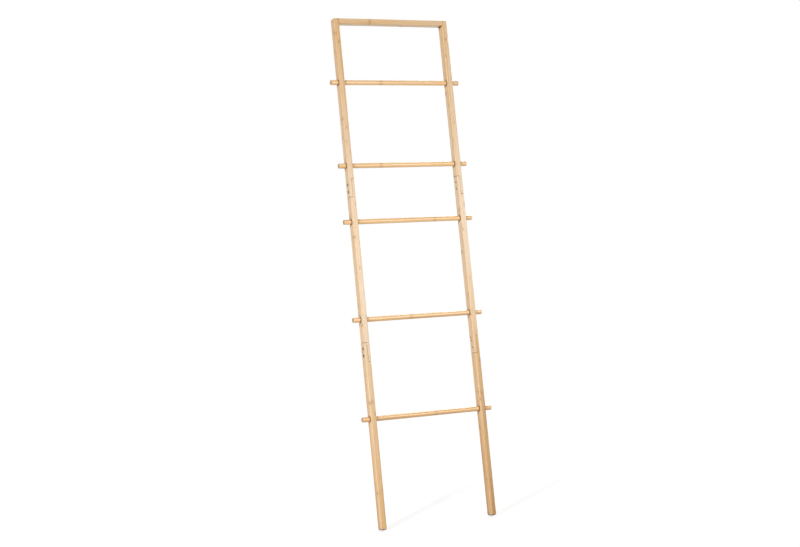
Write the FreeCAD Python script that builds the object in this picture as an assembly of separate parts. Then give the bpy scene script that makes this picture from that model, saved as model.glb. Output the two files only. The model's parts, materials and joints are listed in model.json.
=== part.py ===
"""Leaning blanket ladder in strip-laminated bamboo.

Two rectangular posts are each bolted together from three sections with half-lap joints. A bar joins their
tops, and five round rungs pass through both posts and stand out past them.

The ladder is drawn upright in its own frame: X to the right, Y to the back, Z up along the posts, with the
feet at Z = 0. The last step leans it back as it stands in use and puts the middle of its footprint, on the
floor, at the origin. Millimetres and degrees.
"""
import FreeCAD, Part
import math
import os

Vector = FreeCAD.Vector

# Whole ladder
ladder_length = 1800.0      # along the posts, foot pads included
outer_width = 444.0         # over both posts
lean_angle = 13.5           # of the posts from upright, tops to the back

# Posts
post_width = 20.0           # along X
post_depth = 32.0           # along Y
edge_round = 2.0            # on the long edges of posts and bar
foot_chamfer = 1.5          # around the posts' lower ends

# Half-lap joints between the sections of a post
lap_length = 65.0
shoulder_gap = 0.5          # between a tongue's tip and the shoulder it faces
seam_chamfer = 0.8          # on the edges that show along a joint

# Top bar, level with the posts' tops and faces
bar_height = 18.0

# Rungs
rung_diameter = 18.0
rung_length = 500.0
rung_chamfer = 1.2
glue_gap = 0.05             # radial, between a rung and its bore
rung_1_drop = 230.0         # centre below the posts' tops
rung_2_rise = 48.0          # centre above the upper lap joints
rung_3_inset = 152.0        # centre below the middle sections' upper ends
rung_4_inset = 146.0        # centre above the middle sections' lower ends
rung_5_height = 380.0       # centre above the feet

# Bolts and threaded inserts of the lap joints
bolt_spacing = 25.0
bolt_diameter = 6.0
bolt_tip_recess = 0.5       # of the bolt's tip in the post's inner face
head_diameter = 10.5
head_height = 3.3
head_recess = 0.5           # of the head below the post's outer face
head_clearance = 0.4        # radial, in the counterbore
head_bevel = 0.8
shank_clearance = 0.25      # radial, in the wood
hex_flats = 4.0
hex_depth = 2.0
insert_diameter = 9.0

# Dowels between the bar and the posts
dowel_diameter = 8.0
dowel_length = 30.0
dowel_in_post = 12.0
dowel_spacing = 16.0        # along Y
dowel_end_gap = 1.0         # at each blind end

# Foot pads
pad_thickness = 2.0
pad_inset = 2.0             # from the post's faces
pad_round = 3.0

# Places worked out from the sizes above
half_width = post_width / 2
half_depth = post_depth / 2
post_centre = outer_width / 2 - half_width
inner_width = outer_width - 2 * post_width
bar_underside = ladder_length - bar_height
bar_centre = ladder_length - bar_height / 2
section_length = (ladder_length - pad_thickness + 2 * lap_length) / 3
lower_lap_top = pad_thickness + section_length
lower_lap_foot = lower_lap_top - lap_length
upper_lap_foot = ladder_length - section_length
upper_lap_top = upper_lap_foot + lap_length
tip_gap = shoulder_gap / 2
head_seat = head_height + head_recess
rung_heights = {
    "rung_1": ladder_length - rung_1_drop,
    "rung_2": upper_lap_top + rung_2_rise,
    "rung_3": upper_lap_top - rung_3_inset,
    "rung_4": lower_lap_foot + rung_4_inset,
    "rung_5": rung_5_height,
}
tolerance = 1e-4            # for telling which plane an edge lies on


def block(x_low, x_high, y_low, y_high, z_low, z_high):
    """Return the box between two corners."""
    return Part.makeBox(x_high - x_low, y_high - y_low, z_high - z_low, Vector(x_low, y_low, z_low))


def rod_x(radius, x_low, x_high, y, z):
    """Return a cylinder that runs along X."""
    return Part.makeCylinder(radius, x_high - x_low, Vector(x_low, y, z), Vector(1, 0, 0))


def chamfered_rod_x(radius, chamfer, x_low, x_high, y, z):
    """Return a cylinder along X with both ends chamfered."""
    rod = rod_x(radius, x_low, x_high, y, z)
    return rod.makeChamfer(chamfer, [edge for edge in rod.Edges if edge.BoundBox.XLength < tolerance])


# ---- Posts. Each section is drawn for the left post, about that post's centre line, so its outer face looks
# ---- to -X and the seam of its half-laps lies in the plane X = 0.

def lies_at(value, target):
    return abs(value - target) < tolerance


def edges_at_height(shape, z):
    """Return the edges of a shape that lie in the level plane at z."""
    return [edge for edge in shape.Edges
            if lies_at(edge.BoundBox.ZMin, z) and lies_at(edge.BoundBox.ZMax, z)]


def upright_edges(shape):
    """Return the edges of a box that stand along Z."""
    return [edge for edge in shape.Edges if edge.BoundBox.ZLength > tolerance]


def straight_section(z_low, z_high):
    """Return a post section with all four long edges rounded."""
    section = block(-half_width, half_width, -half_depth, half_depth, z_low, z_high)
    return section.makeFillet(edge_round, upright_edges(section))


def inner_edge_cutter(side, z_low, z_high):
    """Return what rounding takes off one long edge of a post's inner face."""
    corner = Vector(half_width, side * half_depth, z_low)
    start = corner + Vector(-edge_round, 0, 0)
    end = corner + Vector(0, -side * edge_round, 0)
    pull_in = edge_round * (1 - math.sqrt(0.5))
    middle = corner + Vector(-pull_in, -side * pull_in, 0)
    outline = Part.Wire([
        Part.makeLine(corner, start),
        Part.Arc(start, middle, end).toShape(),
        Part.makeLine(end, corner),
    ])
    return Part.Face(outline).extrude(Vector(0, 0, z_high - z_low))


def top_section(z_low, z_high):
    """Return a post section whose top is rounded with the bar's, and square where the bar meets it."""
    section = block(-half_width, half_width, -half_depth, half_depth, z_low, z_high)
    outer = [edge for edge in upright_edges(section) if lies_at(edge.BoundBox.XMax, -half_width)]
    top = [edge for edge in edges_at_height(section, z_high) if edge.BoundBox.XMin < half_width - tolerance]
    section = section.makeFillet(edge_round, outer + top)
    for side in (-1, 1):
        section = section.cut(inner_edge_cutter(side, z_low, bar_underside))
    return section


def eased_seam(section, tip_z, shoulder_z):
    """Chamfer the edges that show at one half-lap: tongue tip, shoulder and the seam between them."""
    low, high = sorted((tip_z, shoulder_z))
    shown = []
    for edge in edges_at_height(section, tip_z) + edges_at_height(section, shoulder_z):
        on_seam = lies_at(edge.BoundBox.XMin, 0) and lies_at(edge.BoundBox.XMax, 0)
        if not on_seam:
            shown.append(edge)
    for edge in section.Edges:
        box = edge.BoundBox
        upright = lies_at(box.XMin, 0) and lies_at(box.XMax, 0) and box.YLength < tolerance
        if upright and lies_at(box.ZMin, low) and lies_at(box.ZMax, high):
            shown.append(edge)
    return section.makeChamfer(seam_chamfer, shown)


def cut_lap(section, tip_z, shoulder_z, tongue_side):
    """Leave a tongue between its tip and the shoulder: -1 keeps the outer half of a section, 1 the inner."""
    low, high = sorted((tip_z, shoulder_z))
    x_low, x_high = (0, post_width) if tongue_side < 0 else (-post_width, 0)
    section = section.cut(block(x_low, x_high, -post_depth, post_depth, low, high))
    return eased_seam(section, tip_z, shoulder_z)


def bolt_heights(lap_foot, lap_top):
    """Return the heights of a lap joint's two bolts."""
    centre = (lap_foot + lap_top) / 2
    return [centre - bolt_spacing / 2, centre + bolt_spacing / 2]


def outer_bolt_holes(section, lap_foot, lap_top):
    """Bore a tongue's outer half: counterbores for the heads and clearance holes for the shanks."""
    counterbore_radius = head_diameter / 2 + head_clearance
    for z in bolt_heights(lap_foot, lap_top):
        section = section.cut(rod_x(counterbore_radius, -half_width, head_seat - half_width, 0, z))
        section = section.cut(rod_x(bolt_diameter / 2 + shank_clearance, -half_width, half_width, 0, z))
    return section


def inner_bolt_holes(section, lap_foot, lap_top):
    """Bore a tongue's inner half: a seat right through it for each insert."""
    for z in bolt_heights(lap_foot, lap_top):
        section = section.cut(rod_x(insert_diameter / 2, 0, half_width, 0, z))
    return section


def rung_bores(section, rung_names):
    """Bore a section for its rungs."""
    for name in rung_names:
        z = rung_heights[name]
        section = section.cut(rod_x(rung_diameter / 2 + glue_gap, -half_width, half_width, 0, z))
    return section


def dowel_offsets():
    """Return where the two dowels of a bar end stand along Y."""
    return [-dowel_spacing / 2, dowel_spacing / 2]


def make_post_upper():
    tip = upper_lap_foot + tip_gap
    section = top_section(tip, ladder_length)
    section = cut_lap(section, tip, upper_lap_top + tip_gap, tongue_side=-1)
    section = outer_bolt_holes(section, upper_lap_foot, upper_lap_top)
    section = rung_bores(section, ["rung_1", "rung_2"])
    hole_bottom = half_width - dowel_in_post - dowel_end_gap
    for y in dowel_offsets():
        section = section.cut(rod_x(dowel_diameter / 2, hole_bottom, half_width, y, bar_centre))
    return section


def make_post_middle():
    upper_tip = upper_lap_top - tip_gap
    lower_tip = lower_lap_foot + tip_gap
    section = straight_section(lower_tip, upper_tip)
    section = cut_lap(section, upper_tip, upper_lap_foot - tip_gap, tongue_side=1)
    section = cut_lap(section, lower_tip, lower_lap_top + tip_gap, tongue_side=1)
    section = inner_bolt_holes(section, upper_lap_foot, upper_lap_top)
    section = inner_bolt_holes(section, lower_lap_foot, lower_lap_top)
    return rung_bores(section, ["rung_3", "rung_4"])


def make_post_lower():
    tip = lower_lap_top - tip_gap
    section = straight_section(pad_thickness, tip)
    section = section.makeChamfer(foot_chamfer, edges_at_height(section, pad_thickness))
    section = cut_lap(section, tip, lower_lap_foot - tip_gap, tongue_side=-1)
    section = outer_bolt_holes(section, lower_lap_foot, lower_lap_top)
    return rung_bores(section, ["rung_5"])


def make_foot_pad():
    half_x = half_width - pad_inset
    half_y = half_depth - pad_inset
    pad = block(-half_x, half_x, -half_y, half_y, 0, pad_thickness)
    return pad.makeFillet(pad_round, upright_edges(pad))


# ---- Fasteners of one post, about that post's centre line

def make_bolt(z):
    """Return a bolt with a hexagon socket, its head towards the post's outer face."""
    head_top = head_recess - half_width
    seat = head_seat - half_width
    tip = half_width - bolt_tip_recess
    head = rod_x(head_diameter / 2, head_top, seat, 0, z)
    rim = [edge for edge in head.Edges if lies_at(edge.BoundBox.XMax, head_top)]
    head = head.makeChamfer(head_bevel, rim)
    corner_radius = hex_flats / math.sqrt(3)
    corners = [Vector(head_top, corner_radius * math.cos(math.radians(60 * step)),
                      z + corner_radius * math.sin(math.radians(60 * step))) for step in range(7)]
    socket = Part.Face(Part.makePolygon(corners)).extrude(Vector(hex_depth, 0, 0))
    return head.cut(socket).fuse(rod_x(bolt_diameter / 2, seat, tip, 0, z)).removeSplitter()


def make_insert(z):
    """Return a threaded sleeve, level with the post's inner face."""
    return rod_x(insert_diameter / 2, 0, half_width, 0, z).cut(rod_x(bolt_diameter / 2, 0, half_width, 0, z))


def post_bolt_heights():
    """Return the heights of all four bolts of a post."""
    return bolt_heights(lower_lap_foot, lower_lap_top) + bolt_heights(upper_lap_foot, upper_lap_top)


def make_bolts():
    return Part.makeCompound([make_bolt(z) for z in post_bolt_heights()])


def make_inserts():
    return Part.makeCompound([make_insert(z) for z in post_bolt_heights()])


def make_dowels():
    """Return the two dowels that hold one end of the bar."""
    start = half_width - dowel_in_post
    return Part.makeCompound([rod_x(dowel_diameter / 2, start, start + dowel_length, y, bar_centre)
                              for y in dowel_offsets()])


# ---- Pieces that cross the ladder, about its centre line

def make_top_bar():
    half_length = inner_width / 2
    bar = block(-half_length, half_length, -half_depth, half_depth, bar_underside, ladder_length)
    bar = bar.makeFillet(edge_round, [edge for edge in bar.Edges if edge.BoundBox.XLength > tolerance])
    hole_depth = dowel_length - dowel_in_post + dowel_end_gap
    for y in dowel_offsets():
        for x_low in (-half_length, half_length - hole_depth):
            bar = bar.cut(rod_x(dowel_diameter / 2, x_low, x_low + hole_depth, y, bar_centre))
    return bar


def make_rung(name):
    half_length = rung_length / 2
    return chamfered_rod_x(rung_diameter / 2, rung_chamfer, -half_length, half_length, 0, rung_heights[name])


# ---- Assembly

def upright_nodes():
    """Return every piece by name, with the ladder upright."""
    post_pieces = {
        "post_upper": make_post_upper(),
        "post_middle": make_post_middle(),
        "post_lower": make_post_lower(),
        "foot_pad": make_foot_pad(),
        "lap_bolts": make_bolts(),
        "lap_inserts": make_inserts(),
        "bar_dowels": make_dowels(),
    }
    nodes = {"top_bar": make_top_bar()}
    for name in rung_heights:
        nodes[name] = make_rung(name)
    for name, piece in post_pieces.items():
        left = piece.translated(Vector(-post_centre, 0, 0))
        nodes[name + "_left"] = left
        nodes[name + "_right"] = left.mirror(Vector(0, 0, 0), Vector(1, 0, 0))
    return nodes


def leant(nodes):
    """Lean the ladder back and stand it on the floor, over the middle of its footprint."""
    turned = {name: shape.rotated(Vector(0, 0, 0), Vector(1, 0, 0), -lean_angle)
              for name, shape in nodes.items()}
    box = Part.makeCompound(list(turned.values())).optimalBoundingBox(False)
    shift = Vector(-box.Center.x, -box.Center.y, -box.ZMin)
    return {name: shape.translated(shift) for name, shape in turned.items()}


os.makedirs("parts", exist_ok=True)
for node_name, node_shape in leant(upright_nodes()).items():
    node_shape.exportStep("parts/" + node_name + ".step")
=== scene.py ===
"""Looks of the leaning bamboo blanket ladder: materials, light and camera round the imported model."""
import json
import math

import bpy
from mathutils import Matrix, Vector

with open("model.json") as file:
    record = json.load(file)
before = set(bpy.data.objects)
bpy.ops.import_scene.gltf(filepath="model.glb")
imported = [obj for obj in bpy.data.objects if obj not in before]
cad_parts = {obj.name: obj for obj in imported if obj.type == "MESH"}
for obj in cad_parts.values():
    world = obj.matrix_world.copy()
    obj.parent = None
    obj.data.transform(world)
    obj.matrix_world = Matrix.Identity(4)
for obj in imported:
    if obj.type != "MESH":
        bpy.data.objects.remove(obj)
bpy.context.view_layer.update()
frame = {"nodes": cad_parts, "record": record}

# ---- The ladder's own axes, from the frame: X to the right, Y to the back, Z up along the posts

MOUNTS = {mount["name"]: mount for mount in frame["record"]["mounts"]}
FOOT_CENTRE = (Vector(MOUNTS["floor_left"]["pos_m"]) + Vector(MOUNTS["floor_right"]["pos_m"])) / 2
DOWN_THE_POSTS = Vector(MOUNTS["floor_left"]["axis"])
LEAN = math.atan2(-DOWN_THE_POSTS.y, -DOWN_THE_POSTS.z)
LADDER_TURN = Matrix.Rotation(-LEAN, 3, "X")


def ladder_box(node):
    """Return a node's lowest and highest corners in the ladder's own axes, in metres."""
    back = LADDER_TURN.inverted()
    points = [back @ (vertex.co - FOOT_CENTRE) for vertex in frame["nodes"][node].data.vertices]
    low = Vector([min(point[axis] for point in points) for axis in range(3)])
    high = Vector([max(point[axis] for point in points) for axis in range(3)])
    return low, high


def in_row_frame(point):
    """Return a point given in the ladder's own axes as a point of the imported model's frame."""
    return FOOT_CENTRE + LADDER_TURN @ Vector(point)


# ---- Building shader trees

class Shade:
    """The node tree of a material or a world, grown one value at a time."""

    def __init__(self, owner):
        owner.use_nodes = True
        self.owner = owner
        self.tree = owner.node_tree

    @property
    def surface(self):
        """The surface shader of a material."""
        return self.tree.nodes["Principled BSDF"]

    def put(self, socket, value):
        """Link a socket, or set a plain value on it."""
        if isinstance(value, bpy.types.NodeSocket):
            self.tree.links.new(value, socket)
        else:
            socket.default_value = value

    def node(self, kind, **settings):
        made = self.tree.nodes.new(kind)
        for key, value in settings.items():
            setattr(made, key, value)
        return made

    def math(self, operation, *values, clamp=False):
        made = self.node("ShaderNodeMath", operation=operation, use_clamp=clamp)
        for socket, value in zip(made.inputs, values):
            self.put(socket, value)
        return made.outputs[0]

    def scaled(self, value, factor, shift=0.0):
        return self.math("MULTIPLY_ADD", value, factor, shift)

    def vector(self, x, y, z):
        made = self.node("ShaderNodeCombineXYZ")
        for socket, value in zip(made.inputs, (x, y, z)):
            self.put(socket, value)
        return made.outputs[0]

    def split(self, vector):
        made = self.node("ShaderNodeSeparateXYZ")
        self.put(made.inputs[0], vector)
        return made.outputs[0], made.outputs[1], made.outputs[2]

    def noise(self, vector, detail=2.0, roughness=0.5):
        """Return smooth noise, about 0 to 1, whose cells are one unit of the vector wide."""
        made = self.node("ShaderNodeTexNoise", noise_dimensions="3D")
        self.put(made.inputs["Vector"], vector)
        self.put(made.inputs["Scale"], 1.0)
        self.put(made.inputs["Detail"], detail)
        self.put(made.inputs["Roughness"], roughness)
        return made.outputs["Fac"]

    def random(self, vector):
        """Return three random numbers from 0 to 1, the same ones wherever the vector is the same."""
        made = self.node("ShaderNodeTexWhiteNoise", noise_dimensions="3D")
        self.put(made.inputs["Vector"], vector)
        return self.split(made.outputs["Color"])

    def blend(self, factor, first, second):
        made = self.node("ShaderNodeMix", data_type="RGBA")
        self.put(made.inputs[0], factor)
        self.put(made.inputs[6], first)
        self.put(made.inputs[7], second)
        return made.outputs[2]

    def ramp(self, value, *stops):
        """Return the colour at a value, between stops given as a place and a colour."""
        made = self.node("ShaderNodeValToRGB")
        elements = made.color_ramp.elements
        while len(elements) < len(stops):
            elements.new(1.0)
        for element, (place, colour) in zip(elements, stops):
            element.position = place
            element.color = colour
        self.put(made.inputs[0], value)
        return made.outputs[0]

    def times(self, value, factor):
        """Multiply a colour or a vector by a number."""
        made = self.node("ShaderNodeVectorMath", operation="SCALE")
        self.put(made.inputs[0], value)
        self.put(made.inputs["Scale"], factor)
        return made.outputs[0]

    def steps(self, value, low, high):
        """Return 0 below low, 1 above high and a smooth rise between."""
        made = self.node("ShaderNodeMapRange", interpolation_type="SMOOTHSTEP")
        self.put(made.inputs["Value"], value)
        self.put(made.inputs["From Min"], low)
        self.put(made.inputs["From Max"], high)
        return made.outputs["Result"]

    def bell(self, distance, width):
        """Return 1 where distance is 0, falling off over the given width."""
        ratio = self.math("DIVIDE", distance, width)
        return self.math("EXPONENT", self.math("MULTIPLY", self.math("MULTIPLY", ratio, ratio), -1.0))

    def own_axes(self, centre, turn):
        """Return the place of the surface in the axes of a piece: turn's columns, from its centre."""
        place = self.node("ShaderNodeTexCoord").outputs["Object"]
        made = self.node("ShaderNodeMapping", vector_type="TEXTURE")
        self.put(made.inputs["Vector"], place)
        self.put(made.inputs["Location"], centre)
        self.put(made.inputs["Rotation"], turn.to_euler("XYZ"))
        return self.split(made.outputs["Vector"])

    def facing(self, direction):
        """Return how squarely the surface looks along a direction, either way, from 0 to 1."""
        normal = self.node("ShaderNodeNewGeometry").outputs["Normal"]
        made = self.node("ShaderNodeVectorMath", operation="DOT_PRODUCT")
        self.put(made.inputs[0], normal)
        self.put(made.inputs[1], direction)
        return self.math("ABSOLUTE", made.outputs["Value"])

    def crevice(self, reach):
        """Return 0 on open surfaces, rising towards 1 where others stand within reach, in metres."""
        made = self.node("ShaderNodeAmbientOcclusion", samples=8)
        self.put(made.inputs["Distance"], reach)
        return self.math("SUBTRACT", 1.0, made.outputs["AO"])

    def bump(self, height, depth, strength):
        """Give the surface fine relief, depth metres deep where the height is 1."""
        made = self.node("ShaderNodeBump")
        self.put(made.inputs["Height"], height)
        self.put(made.inputs["Distance"], depth)
        self.put(made.inputs["Strength"], strength)
        self.put(self.surface.inputs["Normal"], made.outputs["Normal"])

    def finish(self, **values):
        """Set the surface shader's own sockets by name, with underscores for spaces."""
        for key, value in values.items():
            self.put(self.surface.inputs[key.replace("_", " ")], value)
        return self.owner


def new_material(name):
    """Return the shade of a new material."""
    return Shade(bpy.data.materials.new(name))


# ---- Bamboo. Colours are linear, and sizes in metres.

PALE = (0.865, 0.690, 0.478, 1.0)
HONEY = (0.785, 0.485, 0.207, 1.0)
AMBER = (0.470, 0.260, 0.095, 1.0)
FIBRE = (0.460, 0.250, 0.095, 1.0)
KNUCKLE = (0.340, 0.155, 0.050, 1.0)
# The last colour serves for the dark line along the pieces' ends, and for painted shade in crevices where
# pieces meet.
STAIN_AND_SHADE = (0.200, 0.095, 0.035, 1.0)

# Grain, as its size across the fibres and along them.
FINE = (0.00034, 0.045)     # one fibre bundle
STREAK = (0.0016, 0.150)
MOTTLE = (0.014, 0.260)

# How far from the even colour each thing takes the bamboo towards honey and amber.
STRIP_CONTRAST = 0.46       # one strip against another
STREAK_CONTRAST = 0.90
MOTTLE_CONTRAST = 0.46
WALL_CONTRAST = 0.12        # the outer wall of the cane against its inside

BUNDLE_EDGE = (0.50, 0.62)  # the fine noise at which a fibre bundle starts, and is full
BUNDLES_INSIDE = 0.24       # how strongly the fibre bundles show on the inside of the cane
BUNDLES_OUTSIDE = 0.34      # how much more they show towards its outer wall

KNUCKLE_SPACING = 0.310
KNUCKLE_LINE = 0.0011       # the thin dark line of a knuckle
KNUCKLE_ZONE = 0.0075       # the soft shade round it
KNUCKLE_WOBBLE = 0.004      # how far the line strays along the strip
LINE_SHARE = 0.50           # how much of the knuckle's colour the line takes on, and the zone
ZONE_SHARE = 0.44
FAINTEST_KNUCKLE = 0.3      # against 1 for the darkest
STRIP_SHIFT = 7.0           # strips come from different stretches of cane

GLUE_LINE = 0.00016
GLUE_DARKENING = 0.16
END_FACING = (0.55, 0.95)   # how squarely a face must cut the fibres to show end grain, at first and fully
END_DARKENING = 0.20
END_LINE = 0.0004           # the dark line along a piece's ends
END_STAIN = 0.6
CREVICE_REACH = 0.007       # how far the painted shade spreads where pieces meet
CREVICE_EDGE = (0.02, 0.48)     # how closed in a place is where the painted shade starts, and where it is full

BAMBOO_ROUGHNESS = 0.36
BUNDLE_ROUGHNESS = 0.14     # added on the fibre bundles
END_ROUGHNESS = 0.12        # added on end grain
BAMBOO_IOR = 1.48
LACQUER_ROUGHNESS = 0.22
RELIEF_DEPTH = 0.00012
RELIEF_STRENGTH = 0.35
KNUCKLE_RELIEF = 0.5        # a knuckle's line against the fibre bundles


def grain(shade, u, v, along, size, detail, roughness=0.5):
    """Return noise drawn out along the fibres."""
    across, lengthwise = size
    place = shade.vector(shade.scaled(u, 1 / across), shade.scaled(v, 1 / across),
                         shade.scaled(along, 1 / lengthwise))
    return shade.noise(place, detail=detail, roughness=roughness)


def knuckles(shade, w, streak, strip, phase, knuckle_at):
    """Return a strip's knuckles as a thin line and a soft zone, from 0 to 1, and how dark each one is."""
    wobble = shade.scaled(streak, KNUCKLE_WOBBLE, -KNUCKLE_WOBBLE / 2)
    place = shade.math("ADD", shade.math("SUBTRACT", w, knuckle_at), wobble)
    turns = shade.math("ADD", shade.math("ADD", shade.scaled(place, 1 / KNUCKLE_SPACING), phase), 0.5)
    distance = shade.scaled(shade.math("SUBTRACT", shade.math("FRACT", turns), 0.5), KNUCKLE_SPACING)
    strength, _, _ = shade.random(shade.vector(*strip, shade.math("FLOOR", turns)))
    return (shade.bell(distance, KNUCKLE_LINE), shade.bell(distance, KNUCKLE_ZONE),
            shade.scaled(strength, 1.0 - FAINTEST_KNUCKLE, FAINTEST_KNUCKLE))


def bamboo(name, centre, turn, half_length, strips, tones_and_light, knuckle_at, seed):
    """Return strip-laminated bamboo with the grain along the third column of turn.

    The tones are how honey-coloured it is, from 0 to 1, at its lower or left end and at its other end, which
    are half_length from the centre. On the posts they also paint light: paler towards the ladder's middle
    height and deeper towards its top and feet. knuckle_at is where along the piece its marked strip has a
    knuckle.
    """
    shade = new_material(name)
    u, v, w = shade.own_axes(centre, turn)
    strips_across = shade.scaled(u, 1 / strips["width"], strips["across"] / 2)
    strips_deep = shade.scaled(v, 1 / strips["depth"], strips["deep"] / 2)
    across_cell = shade.math("FRACT", strips_across)
    deep_cell = shade.math("FRACT", strips_deep)
    strip = (shade.math("FLOOR", strips_across), shade.math("FLOOR", strips_deep))
    # The half keeps these draws apart from those of the knuckles, which use whole numbers.
    first, second, third = shade.random(shade.vector(*strip, seed + 0.5))
    outer_wall = shade.math("ABSOLUTE", shade.math("SUBTRACT", across_cell, shade.math("ROUND", second)))

    along = shade.math("MULTIPLY_ADD", first, STRIP_SHIFT, w)
    fine = grain(shade, u, v, along, FINE, detail=3.0, roughness=0.6)
    streak = grain(shade, u, v, along, STREAK, detail=3.0, roughness=0.55)
    mottle = grain(shade, u, v, along, MOTTLE, detail=2.0)

    # Knuckles are evenly spaced on a strip, and out of step with the strips beside it.
    is_marked = shade.math("COMPARE", strip[0], float(strips["marked"]), 0.1)
    phase = shade.math("MULTIPLY", third, shade.math("SUBTRACT", 1.0, is_marked))
    line, zone, strength = knuckles(shade, w, streak, strip, phase, knuckle_at)

    # Each piece's own tone from end to end; on the posts this also paints light, paler towards the ladder's
    # middle height.
    warmth_and_light = shade.scaled(w, (tones_and_light[1] - tones_and_light[0]) / (2 * half_length), (tones_and_light[0] + tones_and_light[1]) / 2)
    for value, contrast in ((first, STRIP_CONTRAST), (streak, STREAK_CONTRAST), (mottle, MOTTLE_CONTRAST),
                            (outer_wall, WALL_CONTRAST)):
        warmth_and_light = shade.math("ADD", shade.scaled(value, contrast, -contrast / 2), warmth_and_light)
    colour = shade.ramp(warmth_and_light, (0.0, PALE), (0.6, HONEY), (1.0, AMBER))

    density = shade.scaled(outer_wall, BUNDLES_OUTSIDE, BUNDLES_INSIDE)
    bundles = shade.steps(fine, *BUNDLE_EDGE)
    colour = shade.blend(shade.math("MULTIPLY", bundles, density), colour, FIBRE)

    mark = shade.math("ADD", shade.scaled(line, LINE_SHARE), shade.scaled(zone, ZONE_SHARE))
    colour = shade.blend(shade.math("MULTIPLY", mark, strength, clamp=True), colour, KNUCKLE)

    edge_u = shade.math("MULTIPLY", shade.math("PINGPONG", across_cell, 0.5), strips["width"])
    edge_v = shade.math("MULTIPLY", shade.math("PINGPONG", deep_cell, 0.5), strips["depth"])
    glue = shade.bell(shade.math("MINIMUM", edge_u, edge_v), GLUE_LINE)
    colour = shade.times(colour, shade.scaled(glue, -GLUE_DARKENING, 1.0))

    end_grain = shade.steps(shade.facing(turn.col[2]), *END_FACING)
    colour = shade.times(colour, shade.scaled(end_grain, -END_DARKENING, 1.0))
    to_end = shade.math("SUBTRACT", half_length, shade.math("ABSOLUTE", w))
    # Painted shade where other surfaces stand close, as at seams, joints and round the rungs, and the dark
    # line along the piece's ends.
    stain_and_shade = shade.math("MAXIMUM", shade.steps(shade.crevice(CREVICE_REACH), *CREVICE_EDGE),
                         shade.scaled(shade.bell(to_end, END_LINE), END_STAIN))
    colour = shade.blend(stain_and_shade, colour, STAIN_AND_SHADE)

    roughness = shade.math("MULTIPLY_ADD", fine, BUNDLE_ROUGHNESS,
                           shade.scaled(end_grain, END_ROUGHNESS, BAMBOO_ROUGHNESS))
    shade.bump(shade.math("MULTIPLY_ADD", line, KNUCKLE_RELIEF, fine), RELIEF_DEPTH, RELIEF_STRENGTH)
    return shade.finish(Base_Color=colour, Roughness=roughness, IOR=BAMBOO_IOR,
                        Coat_Weight=strips["lacquer"], Coat_Roughness=LACQUER_ROUGHNESS)


def piece_axes(along_x):
    """Return the turn whose third column is the grain: along the rungs and bar, or up the posts."""
    right, back, up = (LADDER_TURN.col[axis] for axis in range(3))
    columns = (back, up, right) if along_x else (right, back, up)
    return Matrix(columns).transposed()


def dress_bamboo(node, strips, tones_and_light, knuckle_at, seed):
    """Give one bamboo node its own stretch of bamboo. knuckle_at is in the ladder's own axes."""
    low, high = ladder_box(node)
    middle = (low + high) / 2
    along_x = node.startswith("rung") or node == "top_bar"
    grain_axis = 0 if along_x else 2
    material = bamboo("bamboo_" + node, in_row_frame(middle), piece_axes(along_x),
                      high[grain_axis] - middle[grain_axis], strips, tones_and_light,
                      knuckle_at - middle[grain_axis], seed)
    paint(node, material)


def paint(node, material):
    """Give a node one material all over."""
    slots = frame["nodes"][node].data.materials
    slots.clear()
    slots.append(material)


# ---- Metal, rubber and the dowels' wood. Noise is in cells to the metre.

BLACK_ZINC = ((0.10, 0.095, 0.09, 1.0), (0.17, 0.165, 0.155, 1.0))      # where it is dull, and bright
YELLOW_ZINC = ((0.40, 0.30, 0.16, 1.0), (0.58, 0.47, 0.27, 1.0))
CLOUDS = 900.0
SCRATCHES = 5200.0
STEEL_ROUGHNESS = 0.24
CLOUD_ROUGHNESS = 0.14      # added by the clouds
SCRATCH_ROUGHNESS = 0.12    # added by the scratches
SCRATCH_DEPTH = 0.00002

RUBBER = (0.035, 0.032, 0.030, 1.0)
DUSTY_RUBBER = (0.085, 0.078, 0.070, 1.0)
RUBBER_GRAIN = 2600.0
DUST = 160.0
DUST_EDGE = (0.4, 0.75)     # the dust noise at which dust starts, and is full
RUBBER_ROUGHNESS = 0.68
RUBBER_UNEVENNESS = 0.18    # of the roughness, with the grain
RUBBER_DEPTH = 0.00008

DARK_BEECH = (0.70, 0.50, 0.32, 1.0)
PALE_BEECH = (0.82, 0.64, 0.44, 1.0)
BEECH_FIBRE = (1 / 1600, 1 / 60)    # metres across the fibres and along them
BEECH_ROUGHNESS = 0.55
BEECH_UNEVENNESS = 0.15
BEECH_DEPTH = 0.0001


def plated_steel(name, colours, seed):
    """Return plated steel between a dull and a bright colour, with fine scratches."""
    shade = new_material(name)
    place = shade.node("ShaderNodeTexCoord").outputs["Object"]
    cloud = shade.noise(shade.times(place, CLOUDS + seed), detail=3.0)
    scratch = shade.noise(shade.times(place, SCRATCHES + seed), detail=2.0, roughness=0.7)
    colour = shade.blend(cloud, *colours)
    roughness = shade.math("MULTIPLY_ADD", cloud, CLOUD_ROUGHNESS,
                           shade.scaled(scratch, SCRATCH_ROUGHNESS, STEEL_ROUGHNESS))
    shade.bump(scratch, SCRATCH_DEPTH, strength=0.3)
    return shade.finish(Base_Color=colour, Roughness=roughness, Metallic=1.0)


def foot_rubber():
    """Return matt dark rubber with a fine moulded texture."""
    shade = new_material("foot_rubber_surface")
    place = shade.node("ShaderNodeTexCoord").outputs["Object"]
    texture = shade.noise(shade.times(place, RUBBER_GRAIN), detail=3.0, roughness=0.6)
    dust = shade.noise(shade.times(place, DUST), detail=3.0)
    colour = shade.blend(shade.steps(dust, *DUST_EDGE), RUBBER, DUSTY_RUBBER)
    roughness = shade.scaled(texture, RUBBER_UNEVENNESS, RUBBER_ROUGHNESS)
    shade.bump(texture, RUBBER_DEPTH, strength=0.5)
    return shade.finish(Base_Color=colour, Roughness=roughness)


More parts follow.
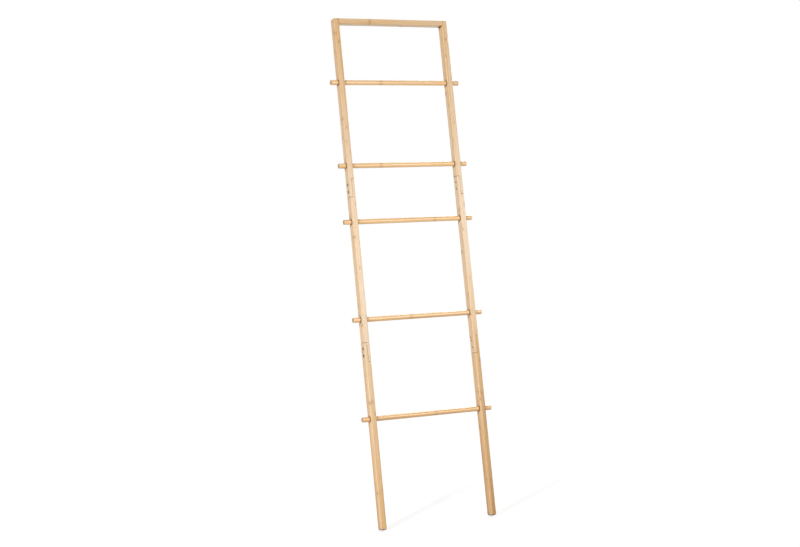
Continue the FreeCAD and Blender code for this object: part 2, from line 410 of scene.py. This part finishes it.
def dowel_wood():
    """Return bare pale wood with a fine straight grain."""
    shade = new_material("dowel_wood_surface")
    u, v, w = shade.own_axes(FOOT_CENTRE, piece_axes(along_x=True))
    fibre = grain(shade, u, v, w, BEECH_FIBRE, detail=3.0, roughness=0.6)
    colour = shade.blend(fibre, DARK_BEECH, PALE_BEECH)
    roughness = shade.scaled(fibre, BEECH_UNEVENNESS, BEECH_ROUGHNESS)
    shade.bump(fibre, BEECH_DEPTH, strength=0.3)
    return shade.finish(Base_Color=colour, Roughness=roughness)


# ---- Dressing the nodes

# How strips make up a piece: their width and depth in metres, how many there are each way, counted from the
# front or left, which one across has its knuckles placed, and how thick the lacquer over them looks.
POST_STRIPS = dict(width=0.020 / 3, across=3, depth=0.016, deep=2, marked=1, lacquer=0.18)
BAR_STRIPS = dict(width=0.016, across=2, depth=0.006, deep=3, marked=0, lacquer=0.18)
RUNG_STRIPS = dict(width=0.0095, across=2, depth=0.0065, deep=3, marked=0, lacquer=0.60)

# The posts' tones also paint light: paler towards the ladder's middle height, deeper towards its top and
# feet.
dress_bamboo("post_upper_left", tones_and_light=(0.20, 0.58), knuckle_at=1.715, seed=1, strips=POST_STRIPS)
dress_bamboo("post_upper_right", tones_and_light=(0.14, 0.42), knuckle_at=1.420, seed=18, strips=POST_STRIPS)
dress_bamboo("post_middle_left", tones_and_light=(0.20, 0.12), knuckle_at=0.905, seed=3, strips=POST_STRIPS)
dress_bamboo("post_middle_right", tones_and_light=(0.26, 0.10), knuckle_at=0.850, seed=4, strips=POST_STRIPS)
dress_bamboo("post_lower_left", tones_and_light=(0.66, 0.32), knuckle_at=0.130, seed=5, strips=POST_STRIPS)
dress_bamboo("post_lower_right", tones_and_light=(0.82, 0.42), knuckle_at=0.125, seed=39, strips=POST_STRIPS)
dress_bamboo("top_bar", tones_and_light=(0.32, 0.27), knuckle_at=-0.085, seed=7, strips=BAR_STRIPS)

# The rungs from the top: tone and place of a knuckle.
RUNGS = ((0.44, -0.06), (0.66, -0.09), (0.58, 0.10), (0.62, -0.03), (0.64, 0.03))
for number, (tone, knuckle_at) in enumerate(RUNGS, start=1):
    dress_bamboo(f"rung_{number}", tones_and_light=(tone, tone), knuckle_at=knuckle_at, seed=10 + number,
                 strips=RUNG_STRIPS)

bolt_metal = plated_steel("bolt_metal", BLACK_ZINC, seed=0.0)
insert_metal = plated_steel("insert_metal", YELLOW_ZINC, seed=37.0)
rubber = foot_rubber()
beech = dowel_wood()
for side in ("left", "right"):
    paint(f"lap_bolts_{side}", bolt_metal)
    paint(f"lap_inserts_{side}", insert_metal)
    paint(f"foot_pad_{side}", rubber)
    paint(f"bar_dowels_{side}", beech)


# ---- Floor, world and lamps

FLOOR_HALF = 30.0           # metres
FLOOR_SHADED = 0.6          # around the object, where the floor shows its shadow
FLOOR_WHITE = 1.8           # beyond this it is as white as the background
FLOOR_GLOW = 0.70           # how white the floor looks near the object, before the lamps light it
FLOOR_SEEN = (0.34, 0.34, 0.34, 1.0)        # near the object, with that glow, so that its shadow shows
FLOOR_LIGHTING = (0.62, 0.61, 0.60, 1.0)    # as the floor lights the object from below
AMBIENT = 0.22              # strength of the world's light on the object
BLACK = (0.0, 0.0, 0.0, 1.0)
WHITE = (1.0, 1.0, 1.0, 1.0)


def seen_directly(shade):
    """Return 1 for rays from the camera, or by mirror or glass, and 0 for the light that surfaces spread."""
    path = shade.node("ShaderNodeLightPath").outputs
    seen = shade.math("MAXIMUM", path["Is Camera Ray"], path["Is Glossy Ray"])
    return shade.math("MAXIMUM", seen, path["Is Transmission Ray"])


def make_floor():
    """Lay a pale floor that keeps the shadow near the ladder and fades to white further out."""
    bpy.ops.mesh.primitive_plane_add(size=2 * FLOOR_HALF)
    floor = bpy.context.object
    floor.name = "floor"
    shade = new_material("floor_surface")
    x, y, _ = shade.split(shade.node("ShaderNodeTexCoord").outputs["Object"])
    reach = shade.math("SQRT", shade.math("ADD", shade.math("MULTIPLY", x, x), shade.math("MULTIPLY", y, y)))
    far = shade.steps(reach, FLOOR_SHADED, FLOOR_WHITE)
    glow = shade.node("ShaderNodeEmission")
    shade.put(glow.inputs["Strength"], shade.scaled(far, 1.0 - FLOOR_GLOW, FLOOR_GLOW))
    lit = shade.node("ShaderNodeBsdfDiffuse")
    shade.put(lit.inputs["Color"], shade.blend(far, FLOOR_SEEN, BLACK))
    shown = shade.node("ShaderNodeAddShader")
    shade.put(shown.inputs[0], glow.outputs[0])
    shade.put(shown.inputs[1], lit.outputs[0])
    plain = shade.node("ShaderNodeBsdfDiffuse")
    shade.put(plain.inputs["Color"], FLOOR_LIGHTING)
    choice = shade.node("ShaderNodeMixShader")
    shade.put(choice.inputs[0], seen_directly(shade))
    shade.put(choice.inputs[1], plain.outputs[0])
    shade.put(choice.inputs[2], shown.outputs[0])
    shade.put(shade.tree.nodes["Material Output"].inputs["Surface"], choice.outputs[0])
    floor.data.materials.append(shade.owner)


def make_world():
    """Make a world that looks white, and is a soft even light for the object."""
    world = bpy.data.worlds.new("studio")
    bpy.context.scene.world = world
    shade = Shade(world)
    background = shade.tree.nodes["Background"]
    shade.put(background.inputs["Color"], WHITE)
    shade.put(background.inputs["Strength"], shade.scaled(seen_directly(shade), 1.0 - AMBIENT, AMBIENT))


def make_lamp(name, place, aim, width, height, power, colour):
    """Hang a soft box and point it."""
    lamp = bpy.data.lights.new(name, "AREA")
    lamp.shape = "RECTANGLE"
    lamp.size = width
    lamp.size_y = height
    lamp.energy = power
    lamp.color = colour
    holder = bpy.data.objects.new(name, lamp)
    bpy.context.scene.collection.objects.link(holder)
    holder.location = place
    holder.rotation_euler = (Vector(aim) - Vector(place)).to_track_quat("-Z", "Y").to_euler()


make_floor()
make_world()
make_lamp("side", place=(-3.9, -2.1, 3.6), aim=(0.0, 0.0, 0.9), width=0.4, height=0.4, power=170.0,
          colour=(0.98, 0.965, 1.0))
make_lamp("low", place=(-1.4, -0.6, 0.25), aim=(0.0, -0.2, 0.2), width=0.5, height=0.5, power=6.0,
          colour=(1.0, 0.99, 0.97))
make_lamp("back", place=(2.6, 2.8, 2.6), aim=(0.0, 0.0, 0.9), width=1.8, height=1.8, power=125.0,
          colour=(1.0, 0.99, 0.98))
make_lamp("front", place=(0.9, -2.0, 1.7), aim=(0.0, 0.0, 0.9), width=0.8, height=0.8, power=25.0,
          colour=(1.0, 0.99, 0.98))


# ---- Camera, as the photograph was taken

CAMERA_FROM_FEET = Vector((-2.0918, -4.3198, 1.4621))
CAMERA_YAW = math.radians(24.241)       # to the right of straight at the ladder
CAMERA_TILT = math.radians(-6.962)
CAMERA_LENS = 63.574                    # millimetres on a 36 mm sensor

camera = bpy.data.cameras.new("camera")
camera.lens = CAMERA_LENS
camera.sensor_width = 36.0
camera_holder = bpy.data.objects.new("camera", camera)
camera_holder.location = FOOT_CENTRE + CAMERA_FROM_FEET
camera_holder.rotation_euler = (math.pi / 2 + CAMERA_TILT, 0.0, -CAMERA_YAW)
bpy.context.scene.collection.objects.link(camera_holder)
bpy.context.scene.camera = camera_holder
bpy.context.scene.view_settings.view_transform = "Standard"
